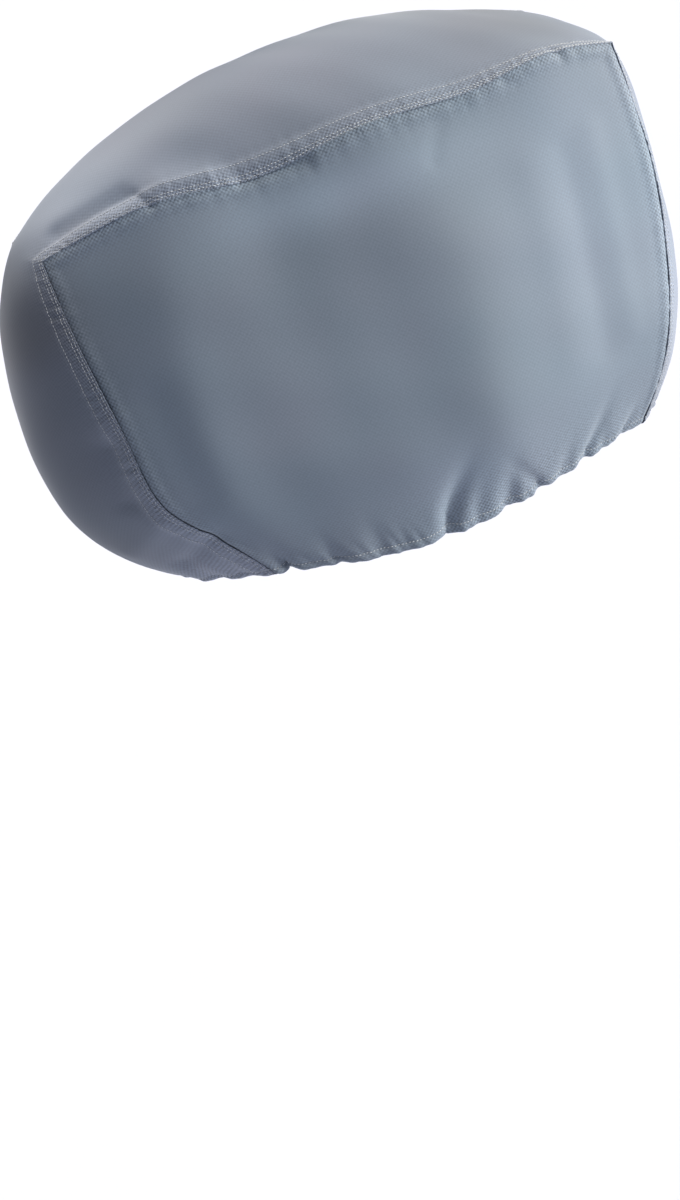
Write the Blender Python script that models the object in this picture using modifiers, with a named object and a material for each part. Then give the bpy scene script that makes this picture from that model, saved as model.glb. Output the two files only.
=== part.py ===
# Fitted cloth cover for an outboard motor's cowl: a centre band and two side panels, felled together, with an
# elastic-gathered hem. +X is forward, +Y is port and +Z is up, in metres. The origin is the highest point of
# the cowl, against the underside of the cloth.

import bmesh
import bpy
import numpy as np

COVER_NAME = "outboard_motor_cover"
CLOTH_THICKNESS = 0.0016
SEAM_GAP = 0.0003

# The felled strip on the band's margins: its outer and inner edges, the row where it ends, and its height.
STRIP_EDGE = 0.0035
STRIP_WIDTH = 0.0125
STRIP_FOOT = 0.0160
STRIP_HEIGHT = 0.0009
SEAM_SINK = 0.0012

# The band runs over the cowl in arcs: a higher figure keeps them flatter in the middle.
BAND_ROUNDNESS = 2.2
# The side panels stand out from the line between their seams and their hem.
SIDE_PUFF = 0.015
SIDE_PUFF_LENGTHWISE = 4
SIDE_PUFF_UPWARD = 2.2
# The cowl's side turns at two upright lines, and the cloth is stretched nearly straight between them: where each
# line is as a share of the panel's length, at the top seam and at the hem, and how straight and soft it all is.
AFT_TURN = (0.18, 0.04)
BOW_TURN = (0.60, 0.62)
STRETCH = 0.9
TURN_SOFTNESS = 0.0032
STRETCH_FADE_LENGTHWISE = 14
STRETCH_FADE_UPWARD = 6

HEM_RADIUS = 0.0034
HEM_TURN_UP = 0.012
HEM_TURN_ANGLES = (60, 120, 180)

# Stations round the band, from the aft hem over the top to the front hem, in millimetres. Each gives where the
# seam lies (x, half width, z) and where the band's middle line lies (x, z).
BAND_STATIONS = (
    # place          seam x  half width  seam z  middle x  middle z
    ("aft hem",      -170, 130, -457, -240, -467),
    ("aft tuck",     -217, 130, -400, -292, -427),
    ("aft turn",     -256, 131, -352, -326, -375),
    ("aft middle",   -269, 128, -285, -341, -303),
    ("aft upper",    -280, 108, -202, -338, -210),
    ("aft corner",   -283, 56, -105, -298, -104),
    ("top aft",      -218, 85, -84, -232, -57),
    ("top rise",     -172, 101, -76, -178, -33),
    ("top dip",      -92, 122, -79, -94, -8),
    ("top middle",   49, 144, -62, 50, 1),
    ("top lull",     146, 146, -65, 150, -12),
    ("top front",    222, 139, -58, 236, -41),
    ("front corner", 298, 121, -74, 317, -84),
    ("front upper",  304, 136, -188, 334, -203),
    ("front middle", 295, 139, -290, 339, -300),
    ("front turn",   272, 140, -378, 318, -401),
    ("front hem",    240, 106, -456, 287, -462),
)
AFT_CORNER = 5
FRONT_CORNER = 12

# The side panels' hem between its two ends, in millimetres.
HEM_STATIONS = (
    # x  half width  z
    (-68, 156, -471),
    (37, 162, -473),
    (142, 144, -464),
)

# Rows down a side panel and columns along it, as shares of its height and length. They lie closer at the seams
# and at the hem.
ROWS_AT_SEAM = (0, 0.010, 0.032)
ROWS_BETWEEN = (0.08, 0.86, 12)
ROWS_AT_HEM = (0.92, 0.965, 1)
COLUMNS_AT_SEAM = (0, 0.008, 0.022)
COLUMNS_BETWEEN = (0.045, 0.955, 40)
BAND_COLUMNS_BETWEEN = 13

# Soft folds in the cloth, in millimetres: each is a trough (depth below 0) or a ridge along a line between two
# points, with its half width. They are listed for starboard, and the port side repeats them a little moved.
FOLDS = (
    # what                    from x  y  z         to x  y  z          half width  depth
    ("dip inside the aft corner", (-256, -46, -92), (-192, -74, -72), 10, -5.5),
    ("rise forward of the dip",   (-160, -96, -62), (-118, -108, -66), 13, 3),
    ("crease where the dip ends", (-184, -82, -68), (-176, -100, -78), 6, -2),
    ("shade below the seam",      (-90, -123, -78), (-30, -137, -78), 8, -3.2),
    ("pocket beside the seam",    (-283, -110, -285), (-280, -108, -340), 14, -5),
    ("ridge under the turn",      (-262, -118, -372), (-284, -60, -408), 14, 3),
    ("tuck under the turn",       (-222, -128, -402), (-244, -90, -430), 11, -4),
    ("hollow behind the seam",    (-236, -140, -250), (-222, -152, -350), 20, -2),
    ("upright ridge forward",     (176, -170, -150), (168, -178, -340), 22, 1.2),
    ("upright trough forward",    (214, -160, -150), (206, -170, -350), 15, -1),
    ("upright ridge at the bow",  (248, -150, -140), (238, -158, -340), 15, 0.9),
)
PORT_SHIFT = 14

# Puckers that the elastic draws in the hem: where each one is as a share of the hem's length from its aft end,
# its half width, depth, reach up the cloth and lean forward, in millimetres.
SIDE_PUCKERS = (
    # at  half width  depth  reach  lean
    (0.045, 9, 5.5, 30, 6),
    (0.105, 7, 1.5, 20, -4),
    (0.155, 8, 2.5, 28, 5),
    (0.262, 10, 2.5, 32, 6),
    (0.315, 8, 1.5, 22, 4),
    (0.408, 12, 8, 50, 30),
    (0.490, 9, 2.5, 34, 12),
    (0.572, 11, 4, 40, 10),
    (0.668, 8, 3.5, 36, -18),
    (0.727, 9, 2.5, 30, 6),
    (0.800, 10, 4.5, 46, 16),
    (0.862, 8, 2, 26, -4),
    (0.928, 9, 2.5, 30, 5),
)
BAND_PUCKERS = (
    (0.12, 8, 3, 30, 5),
    (0.25, 10, 3.5, 42, -6),
    (0.40, 9, 2, 30, 4),
    (0.52, 10, 3.5, 40, 6),
    (0.66, 9, 3, 34, -5),
    (0.79, 10, 3.5, 40, 4),
    (0.90, 8, 2, 28, -4),
)
HEM_LIFT = 0.45
HEM_END_FADE = 0.016


def natural_spline(knots, values, at):
    """A cubic curve through values at knots, with free ends, read at the places in at."""
    knots = np.asarray(knots, float)
    values = np.asarray(values, float)
    step = np.diff(knots)
    slope = np.diff(values, axis=0) / step[:, None]
    count = len(knots)
    system = np.eye(count)
    target = np.zeros_like(values)
    for i in range(1, count - 1):
        system[i, i - 1 : i + 2] = step[i - 1], 2 * (step[i - 1] + step[i]), step[i]
        target[i] = 6 * (slope[i] - slope[i - 1])
    bend = np.linalg.solve(system, target)
    k = np.clip(np.searchsorted(knots, at, side="right") - 1, 0, count - 2)
    before = ((at - knots[k]) / step[k])[:, None]
    after = 1 - before
    square = (step[k] ** 2)[:, None] / 6
    line = after * values[k] + before * values[k + 1]
    return line + square * ((after**3 - after) * bend[k] + (before**3 - before) * bend[k + 1])


def chord_lengths(points):
    return np.concatenate([[0], np.cumsum(np.linalg.norm(np.diff(points, axis=0), axis=1))])


def unit(vectors):
    return vectors / np.linalg.norm(vectors, axis=-1, keepdims=True)


def outward(sheet):
    """Unit normals of a sheet given as rows and columns of points."""
    return unit(np.cross(np.gradient(sheet, axis=0), np.gradient(sheet, axis=1)))


def graded(ends, between):
    start, stop, count = between
    return np.concatenate([ends[0], np.linspace(start, stop, count), ends[1]])


def side_rows():
    return graded((ROWS_AT_SEAM, ROWS_AT_HEM), ROWS_BETWEEN)


def side_columns():
    mirrored = tuple(1 - share for share in reversed(COLUMNS_AT_SEAM))
    return graded((COLUMNS_AT_SEAM, mirrored), COLUMNS_BETWEEN)


def band_lines():
    """The starboard seam and the band's middle line, one point for each row of the band, and the row counts."""
    stations = np.array([row[1:] for row in BAND_STATIONS], float) / 1000
    seam = stations[:, :3] * (1, -1, 1)
    middle = stations[:, 3:]
    knots = chord_lengths(seam)
    rows = side_rows()
    columns = side_columns()
    aft = knots[AFT_CORNER] * (1 - rows[::-1])
    top = knots[AFT_CORNER] + columns * (knots[FRONT_CORNER] - knots[AFT_CORNER])
    front = knots[FRONT_CORNER] + rows * (knots[-1] - knots[FRONT_CORNER])
    runs = (
        (slice(0, AFT_CORNER + 1), aft),
        (slice(AFT_CORNER, FRONT_CORNER + 1), top),
        (slice(FRONT_CORNER, None), front),
    )
    seam_runs = [natural_spline(knots[part], seam[part], at) for part, at in runs]
    along = np.concatenate([aft, top[1:-1], front])
    return seam_runs, natural_spline(knots, middle, along)


def band_sheet(seam_runs, middle):
    """Arcs from the starboard seam over the middle line to the port seam, one for each row."""
    aft, top, front = seam_runs
    seam = np.concatenate([aft, top[1:-1], front])
    half_width = -seam[:, 1:2]
    edge = np.array([0, STRIP_EDGE, STRIP_WIDTH, STRIP_FOOT])
    inner = np.linspace(-1, 1, BAND_COLUMNS_BETWEEN + 1)[1:-1]
    margin = 1 - edge / half_width
    across = np.hstack([-margin, inner * margin[:, -1:], margin[:, ::-1]])
    rise = (1 - np.abs(across) ** BAND_ROUNDNESS)[..., None]
    ends = np.stack([seam[:, 0], seam[:, 2]], axis=1)[:, None]
    arc = ends + (middle[:, None] - ends) * rise
    return np.stack([arc[..., 0], across * half_width, arc[..., 1]], axis=2)


def side_sheet(seam_runs):
    """A starboard panel stretched between its seams and its hem, and puffed out between them."""
    aft, top, front = seam_runs
    aft = aft[::-1]
    s = side_columns()
    t = side_rows()
    hem = np.array(HEM_STATIONS, float) / 1000 * (1, -1, 1)
    hem = np.vstack([aft[-1], hem, front[-1]])
    lengths = chord_lengths(hem)
    hem = natural_spline(lengths / lengths[-1], hem, s)
    s = s[None, :, None]
    t = t[:, None, None]
    across = (1 - s) * aft[:, None] + s * front[:, None]
    down = (1 - t) * top[None] + t * hem[None]
    corners = (1 - t) * ((1 - s) * aft[0] + s * front[0]) + t * ((1 - s) * aft[-1] + s * front[-1])
    sheet = across + down - corners
    lengthwise = 1 - np.abs(2 * s - 1) ** SIDE_PUFF_LENGTHWISE
    upward = 1 - np.abs(2 * t - 1) ** SIDE_PUFF_UPWARD
    sheet[..., 1] -= (SIDE_PUFF * lengthwise * upward)[..., 0]
    return stretch_flat(sheet, s[0, :, 0], t[:, 0])


def stretch_flat(sheet, s, t):
    """Brings each row in towards the straight lines between its ends and its two turns."""
    rows = np.arange(len(t))
    half_width = -sheet[..., 1]
    turns = [upper + (lower - upper) * t[:, 0] for upper, lower in (AFT_TURN, BOW_TURN)]
    places = [np.zeros(len(t)), *turns, np.ones(len(t))]
    widths = []
    for at in places:
        after = np.clip(np.searchsorted(s, at), 1, len(s) - 1)
        share = (at - s[after - 1]) / (s[after] - s[after - 1])
        widths.append(half_width[rows, after - 1] * (1 - share) + half_width[rows, after] * share)
    soft = np.exp(-half_width / TURN_SOFTNESS)
    for i in range(len(turns) + 1):
        share = (s - places[i][:, None]) / (places[i + 1] - places[i])[:, None]
        line = widths[i][:, None] * (1 - share) + widths[i + 1][:, None] * share
        soft += np.exp(-line / TURN_SOFTNESS)
    excess = half_width + TURN_SOFTNESS * np.log(soft)
    fade = (1 - np.abs(2 * s - 1) ** STRETCH_FADE_LENGTHWISE) * (1 - np.abs(2 * t - 1) ** STRETCH_FADE_UPWARD)
    sheet[..., 1] += STRETCH * excess * fade
    return sheet


def fold(sheet, normals, start, end, half_width, depth):
    """How far one soft fold moves each point along its normal."""
    start = np.array(start, float) / 1000
    line = np.array(end, float) / 1000 - start
    share = np.clip((sheet - start) @ line / (line @ line), 0, 1)
    away = np.linalg.norm(sheet - start - share[..., None] * line, axis=-1)
    shape = np.exp(-((away * 1000 / half_width) ** 2))
    return normals * (shape * depth / 1000)[..., None]


def folded(sheet):
    normals = outward(sheet)
    moved = sheet.copy()
    for _, start, end, half_width, depth in FOLDS:
        moved += fold(sheet, normals, start, end, half_width, depth)
        ends = [(x + PORT_SHIFT, -y, z) for x, y, z in (start, end)]
        moved += fold(sheet, normals, *ends, half_width, depth)
    return moved


def pucker_hem(sheet, puckers):
    """Draws the sheet's last rows in and up where the elastic gathers them."""
    normals = outward(sheet)
    hem = chord_lengths(sheet[-1])
    rising = np.linalg.norm(np.diff(sheet[::-1], axis=0), axis=-1)
    above = np.vstack([np.zeros(sheet.shape[1]), np.cumsum(rising, axis=0)])[::-1]
    fade = np.minimum(1, np.minimum(hem, hem[-1] - hem) / HEM_END_FADE)
    drawn = np.zeros(sheet.shape[:2])
    for at, half_width, depth, reach, lean in puckers:
        centre = at * hem[-1] + lean / reach * above
        across = (hem[None] - centre) * 1000 / half_width
        fading = np.exp(-((above * 1000 / reach) ** 2))
        drawn += depth / 1000 * np.exp(-(across**2)) * fading * fade
    moved = sheet - normals * drawn[..., None]
    moved[..., 2] += HEM_LIFT * drawn
    return moved


def turn_hem(sheet):
    """Adds the rows that fold the last row under and a little way up inside."""
    down = unit(sheet[-1] - sheet[-3])
    inward = -outward(sheet)[-1]
    inward = unit(inward - (inward * down).sum(axis=1, keepdims=True) * down)
    rows = []
    for degrees in HEM_TURN_ANGLES:
        angle = np.radians(degrees)
        rows.append(sheet[-1] + HEM_RADIUS * (np.sin(angle) * down + (1 - np.cos(angle)) * inward))
    rows.append(rows[-1] - HEM_TURN_UP * down)
    return np.concatenate([sheet, np.array(rows)])


def raise_strip(band):
    """Lifts the doubled cloth of the felled margin above the rest of the band."""
    normals = outward(band)
    for column in (1, 2, -2, -3):
        band[:, column] += STRIP_HEIGHT * normals[:, column]


def side_border(side):
    """The side sheet's edge and the line beside it, from the aft hem round the top to the front hem."""
    edge = [side[::-1, 0], side[0, 1:-1], side[:, -1]]
    beside = [side[:0:-1, 1], side[1:2, 1], side[1, 1:-1], side[1:2, -2], side[1:, -2]]
    return np.concatenate(edge), np.concatenate(beside)


def set_side_border(side, line):
    rows, columns = side.shape[:2]
    side[::-1, 0] = line[:rows]
    side[0, 1:-1] = line[rows : rows + columns - 2]
    side[:, -1] = line[rows + columns - 2 :]


def close_seam(band, side, edge, beside):
    """Sinks the band's edge column and the side's border into one valley, a seam gap apart."""
    _, side_line = side_border(side)
    band_line = band[:, beside]
    across = unit(side_line - band_line)
    middle = (band_line + side_line) / 2
    along = np.gradient(middle, axis=0)
    up = unit(np.cross(along, across))
    centre = middle - (SEAM_SINK * up if edge else -SEAM_SINK * up)
    band[:, edge] = centre - across * SEAM_GAP / 2
    set_side_border(side, centre + across * SEAM_GAP / 2)


def cover_sheets():
    """The three sheets as rows and columns of points on their outer faces."""
    seam_runs, middle = band_lines()
    band = folded(band_sheet(seam_runs, middle))
    raise_strip(band)
    starboard = folded(side_sheet(seam_runs))
    port = side_sheet(seam_runs)[:, ::-1] * (1, -1, 1)
    port = folded(port)
    band = turn_hem(pucker_hem(band, BAND_PUCKERS))
    band = turn_hem(pucker_hem(band[::-1, ::-1], BAND_PUCKERS))[::-1, ::-1]
    starboard = turn_hem(pucker_hem(starboard, SIDE_PUCKERS))
    port_puckers = [(1 - at, *sizes, -lean) for at, *sizes, lean in SIDE_PUCKERS]
    port = turn_hem(pucker_hem(port, port_puckers))
    close_seam(band, starboard, 0, 1)
    port_from_aft = port[:, ::-1]
    close_seam(band, port_from_aft, -1, -2)
    return {"centre_band": band, "side_panel_starboard": starboard, "side_panel_port": port}


def cloth_material(name, color):
    material = bpy.data.materials.new(name)
    material.use_nodes = True
    shader = material.node_tree.nodes["Principled BSDF"]
    shader.inputs["Base Color"].default_value = (*color, 1)
    shader.inputs["Roughness"].default_value = 0.72
    shader.inputs["Metallic"].default_value = 0
    shader.inputs["Sheen Weight"].default_value = 0.2
    return material


def cloth_object(name, sheet, material, collection):
    """A grid laid on the sheet's points, thickened inwards."""
    rows, columns = sheet.shape[:2]
    grid = bmesh.new()
    bmesh.ops.create_grid(grid, x_segments=rows - 1, y_segments=columns - 1, size=1)
    mesh = bpy.data.meshes.new(name)
    grid.to_mesh(mesh)
    grid.free()
    mesh.vertices.foreach_set("co", sheet.transpose(1, 0, 2).ravel())
    mesh.update()
    mesh.shade_smooth()
    mesh.materials.append(material)
    cloth = bpy.data.objects.new(name, mesh)
    collection.objects.link(cloth)
    thickness = cloth.modifiers.new("Thickness", "SOLIDIFY")
    thickness.thickness = CLOTH_THICKNESS
    thickness.offset = -1
    return cloth


def main():
    for old in list(bpy.data.objects):
        bpy.data.objects.remove(old)
    collection = bpy.data.collections.new(COVER_NAME)
    bpy.context.scene.collection.children.link(collection)
    colors = {
        "centre_band": (0.245, 0.275, 0.325),
        "side_panel_starboard": (0.215, 0.245, 0.290),
        "side_panel_port": (0.215, 0.245, 0.290),
    }
    for name, sheet in cover_sheets().items():
        material = cloth_material(name + "_cloth", colors[name])
        cloth_object(name, sheet, material, collection)


main()
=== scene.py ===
import math

import bpy
import numpy as np
from mathutils import Euler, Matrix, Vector


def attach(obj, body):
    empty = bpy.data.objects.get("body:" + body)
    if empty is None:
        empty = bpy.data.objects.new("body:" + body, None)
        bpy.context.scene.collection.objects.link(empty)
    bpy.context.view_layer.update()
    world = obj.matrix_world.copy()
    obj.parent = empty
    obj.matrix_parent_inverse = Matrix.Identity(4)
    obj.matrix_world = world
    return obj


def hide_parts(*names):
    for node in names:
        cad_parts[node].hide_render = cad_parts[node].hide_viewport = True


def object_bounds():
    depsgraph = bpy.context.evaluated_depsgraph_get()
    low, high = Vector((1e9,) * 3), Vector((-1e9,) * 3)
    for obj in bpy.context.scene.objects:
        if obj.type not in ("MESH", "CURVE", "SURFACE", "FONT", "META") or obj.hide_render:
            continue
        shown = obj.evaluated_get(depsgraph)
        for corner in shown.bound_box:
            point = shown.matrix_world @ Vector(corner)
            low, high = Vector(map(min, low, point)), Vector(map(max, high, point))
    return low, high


# Cloth cover for an outboard motor: +X forward, +Y port and +Z up, in metres from the top of the cowl.
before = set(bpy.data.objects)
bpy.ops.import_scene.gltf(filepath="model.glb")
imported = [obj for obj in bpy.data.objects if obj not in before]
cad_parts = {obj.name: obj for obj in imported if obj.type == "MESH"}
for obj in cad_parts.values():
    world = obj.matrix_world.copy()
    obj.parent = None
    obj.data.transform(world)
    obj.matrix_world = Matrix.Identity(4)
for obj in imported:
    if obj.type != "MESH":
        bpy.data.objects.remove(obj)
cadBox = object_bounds()
mm = 0.001
print("frame loaded:", ", ".join(sorted(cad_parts)))


def unit(vectors):
    # Each vector over its own length.
    return vectors / np.linalg.norm(vectors, axis=-1, keepdims=True)


def runningLength(points):
    # The distance along a line of points, 0 at its first.
    return np.concatenate([[0], np.cumsum(np.linalg.norm(np.diff(points, axis=0), axis=-1))])


def smoothCurve(knots, values, at):
    # Natural cubic spline: between knots k and k + 1 the value is the straight line between them plus
    # step^2 / 6 * ((a^3 - a) * bend[k] + (b^3 - b) * bend[k + 1]), where b runs 0 to 1 and a = 1 - b.
    knots = np.asarray(knots, float)
    values = np.asarray(values, float)
    step = np.diff(knots)
    slope = np.diff(values, axis=0) / step[:, None]
    system = np.eye(len(knots))
    inner = np.arange(1, len(knots) - 1)
    system[inner, inner - 1] = step[:-1]
    system[inner, inner] = 2 * (step[:-1] + step[1:])
    system[inner, inner + 1] = step[1:]
    target = np.zeros_like(values)
    target[1:-1] = 6 * np.diff(slope, axis=0)
    bend = np.linalg.solve(system, target)
    k = np.clip(np.searchsorted(knots, at, side="right") - 1, 0, len(knots) - 2)
    b = ((at - knots[k]) / step[k])[:, None]
    a = 1 - b
    line = a * values[k] + b * values[k + 1]
    return line + (step[k] ** 2)[:, None] / 6 * ((a**3 - a) * bend[k] + (b**3 - b) * bend[k + 1])


def bell(distance, reach):
    # exp(-(distance / reach)^2): 1 at no distance, and nearly 0 two reaches away.
    return np.exp(-((distance / reach) ** 2))


def ripple(along, seed, shortest, longest, waves=7):
    # A sum of sine waves of mixed lengths and phases along a line, from about -1 to 1.
    draw = np.random.default_rng(seed)
    lengths = draw.uniform(shortest, longest, waves) * mm
    phases = draw.uniform(0, 2 * np.pi, waves)
    return np.sin(2 * np.pi * along[..., None] / lengths + phases).sum(-1) / math.sqrt(waves * 2)


def sheetNormals(points):
    # The cross product of the steps down the rows and along the columns: it faces outwards on every sheet.
    return unit(np.cross(np.gradient(points, axis=0), np.gradient(points, axis=1)))


def gridShares(length, startSteps, endSteps, step):
    # Shares from 0 to 1 of a length: named steps at each end and even ones between.
    start = np.array(startSteps) * mm
    end = length - np.array(endSteps)[::-1] * mm
    count = int(round((end[0] - start[-1]) / (step * mm))) + 1
    return np.concatenate([start[:-1], np.linspace(start[-1], end[0], count), end[1:]]) / length


# Soft folds: from x y z, to x y z, half width, depth in millimetres. A depth below 0 is a trough. They are
# given for starboard, and the port side repeats them a little further forward.
softFolds = {
    "portShift": 14,
    "both": (
        ((-256, -46, -92), (-192, -74, -72), 11, -7),      # dip beside the strip inside the aft corner
        ((-160, -96, -62), (-118, -108, -66), 13, 3),      # rise forward of it
        ((-184, -82, -68), (-176, -100, -78), 4.5, -2.6),  # crease across the strip where the dip ends
        ((-90, -123, -78), (-30, -137, -78), 8, -3.2),     # shade along the strip's lower edge
        ((100, -149, -84), (84, -160, -112), 9, -0.6),     # pinches below the top seam
        ((176, -147, -68), (186, -149, -73), 5, -1.2),
        ((232, -131, -54), (240, -138, -66), 5, -2),
        ((276, -110, -66), (292, -106, -72), 6, -1.2),
        ((-283, -110, -285), (-280, -108, -340), 14, -5),  # pocket beside the aft seam
        ((-262, -118, -372), (-284, -60, -408), 14, 3),    # ridge and tuck where the aft end turns under
        ((-222, -128, -402), (-244, -90, -430), 11, -4),
        ((-236, -140, -250), (-222, -152, -350), 20, -2),  # hollow forward of the aft seam
        ((176, -170, -150), (168, -178, -340), 22, 1.2),   # upright ridges and trough towards the bow
        ((214, -160, -150), (206, -170, -350), 15, -1),
        ((248, -150, -140), (238, -158, -340), 15, 0.9),
    ),
}


def foldedSheet(points):
    # Each fold moves a point along its normal by
    # depth * exp(-(distance to the fold's line / half width)^2).
    normals = sheetNormals(points)
    moved = points.copy()
    for start, end, halfWidth, depth in softFolds["both"]:
        for side in (1, -1):
            shift = 0 if side == 1 else softFolds["portShift"]
            a = np.array((start[0] + shift, side * start[1], start[2])) * mm
            line = np.array((end[0] + shift, side * end[1], end[2])) * mm - a
            share = np.clip((points - a) @ line / (line @ line), 0, 1)
            away = np.linalg.norm(points - a - share[..., None] * line, axis=-1)
            moved += normals * (bell(away, halfWidth * mm) * depth * mm)[..., None]
    return moved


# All three pieces: the cloth's thickness, and the height, number and lengths of its slow waves.
cloth = {"thickness": 0.7, "unevenness": 0.55, "waves": 9, "waveLengths": (50, 150)}


def unevenSheet(points, seed):
    # Adds a slow unevenness: a sum of plane waves of mixed lengths in mixed directions.
    draw = np.random.default_rng(seed)
    count = cloth["waves"]
    directions = unit(draw.normal(size=(count, 3)))
    lengths = draw.uniform(*cloth["waveLengths"], count) * mm
    phases = draw.uniform(0, 2 * np.pi, count)
    waves = np.sin(2 * np.pi * (points @ directions.T) / lengths + phases).sum(-1) / math.sqrt(count)
    return points + sheetNormals(points) * (waves * cloth["unevenness"] * mm)[..., None]


hemCut = {
    "steps": (0, 1.6, 3.2, 5.2, 7.4, 9.6, 12.4, 15.6, 19),
    "radius": 3.0,
    "turnAngles": (30, 60, 90, 120, 150, 180),
    "turnUp": 12,    # how far the turned edge runs up inside, and in which steps
    "turnUpShares": (0.33, 0.66, 1),
    "channel": 0.7,  # the elastic stands out in the folded edge
    "channelAt": 3.4,
    "channelReach": 2.4,
    "groove": 0.8,   # the stitch row draws the cloth in above it
    "grooveAt": 7.4,
    "grooveReach": 1.7,
    "lift": 0.45,    # a pucker draws the edge up by this share of its depth
    "fade": 16,      # and none reaches the seams
}
# The rows that a turned hem adds to its sheet.
hemTurnRows = len(hemCut["turnAngles"]) + len(hemCut["turnUpShares"])

# Puckers that the elastic draws: share of the hem from aft, half width, depth, reach up, lean forward.
hemPuckers = {
    "side": (
        (0.045, 9, 5.5, 30, 6),
        (0.105, 7, 1.5, 20, -4),
        (0.155, 8, 2.5, 28, 5),
        (0.262, 10, 2.5, 32, 6),
        (0.315, 8, 1.5, 22, 4),
        (0.408, 12, 8, 50, 30),
        (0.490, 9, 2.5, 34, 12),
        (0.572, 11, 4, 40, 10),
        (0.668, 8, 3.5, 36, -18),
        (0.727, 9, 2.5, 30, 6),
        (0.800, 10, 4.5, 46, 16),
        (0.862, 8, 2, 26, -4),
        (0.928, 9, 2.5, 30, 5),
    ),
    "band": (
        (0.12, 8, 3, 30, 5),
        (0.25, 10, 3.5, 42, -6),
        (0.40, 9, 2, 30, 4),
        (0.52, 10, 3.5, 40, 6),
        (0.66, 9, 3, 34, -5),
        (0.79, 10, 3.5, 40, 4),
        (0.90, 8, 2, 28, -4),
    ),
    "fineSpacing": 11,
    "fineHalfWidth": (2.6, 5.0),
    "fineDepth": (0.2, 1.2),
    "fineReach": (7, 20),
    "fineLean": (-4, 4),
    "fineJitter": (0.1, 0.9),  # where each lies in its own stretch of hem
}


def aboveHem(points):
    # The distance of each point up the cloth from the sheet's last row.
    steps = np.linalg.norm(np.diff(points[::-1], axis=0), axis=-1)
    return np.vstack([np.zeros(points.shape[1]), np.cumsum(steps, axis=0)])[::-1]


def gatherHem(points, puckers, seed):
    # Each pucker draws the cloth in by depth * exp(-(across / half width)^2) * exp(-(above / reach)^2)
    # and lifts it by a share of that. Fine ones at random places fill the rest of the elastic's length.
    # The elastic's channel stands out and the stitch row sinks in, each by
    # depth * exp(-((above - place) / reach)^2).
    normals = sheetNormals(points)
    hem = runningLength(points[-1])
    above = aboveHem(points)
    draw = np.random.default_rng(seed)
    count = int(hem[-1] / (hemPuckers["fineSpacing"] * mm))
    places = (np.arange(count) + draw.uniform(*hemPuckers["fineJitter"], count)) / count
    fine = np.column_stack([
        places,
        draw.uniform(*hemPuckers["fineHalfWidth"], count),
        draw.uniform(*hemPuckers["fineDepth"], count),
        draw.uniform(*hemPuckers["fineReach"], count),
        draw.uniform(*hemPuckers["fineLean"], count),
    ])
    drawn = np.zeros(points.shape[:2])
    for at, halfWidth, depth, reach, lean in [*puckers, *fine]:
        across = hem[None] - at * hem[-1] - lean / reach * above
        drawn += depth * mm * bell(across, halfWidth * mm) * bell(above, reach * mm)
    drawn *= np.minimum(1, np.minimum(hem, hem[-1] - hem) / (hemCut["fade"] * mm))
    channel = hemCut["channel"] * bell(above - hemCut["channelAt"] * mm, hemCut["channelReach"] * mm)
    groove = hemCut["groove"] * bell(above - hemCut["grooveAt"] * mm, hemCut["grooveReach"] * mm)
    moved = points + normals * ((channel - groove) * mm - drawn)[..., None]
    moved[..., 2] += hemCut["lift"] * drawn
    return moved


# Where the cloth laps over the pucker beside it, for the starboard hem from its aft end.
flaps = {
    "atQuarter": {"at": 0.388, "halfWidth": 10, "slide": 7, "lift": 3.0, "reach": 30, "lean": 16},
    "atAftEnd": {"at": 0.066, "halfWidth": 8, "slide": -9, "lift": 2.0, "reach": 20, "lean": 4},
    "atBow": {"at": 0.785, "halfWidth": 6, "slide": 4, "lift": 0.8, "reach": 20, "lean": 8},
}


def lapFlap(points, flap):
    # Slides cloth along the hem over the pucker beside it, by slide * raised, and outwards, by
    # lift * raised: raised is exp(-(across / half width)^2) * exp(-(above / reach)^2).
    hem = runningLength(points[-1])
    above = aboveHem(points)
    across = hem[None] - flap["at"] * hem[-1] - flap["lean"] / flap["reach"] * above
    raised = bell(across, flap["halfWidth"] * mm) * bell(above, flap["reach"] * mm)
    forward = unit(np.gradient(points, axis=1))
    slid = forward * (flap["slide"] * mm * raised)[..., None]
    return points + slid + sheetNormals(points) * (flap["lift"] * mm * raised)[..., None]


def turnHem(points):
    # Carries the last row round a half circle to the inside, and then a little way up.
    down = unit(points[-1] - points[-3])
    inward = -sheetNormals(points)[-1]
    inward = unit(inward - (inward * down).sum(axis=1, keepdims=True) * down)
    radius = hemCut["radius"] * mm
    angles = np.radians(hemCut["turnAngles"])[:, None, None]
    turned = points[-1] + radius * (np.sin(angles) * down + (1 - np.cos(angles)) * inward)
    up = np.array(hemCut["turnUpShares"])[:, None, None] * hemCut["turnUp"] * mm
    return np.concatenate([points, turned, turned[-1] - up * down])


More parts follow.
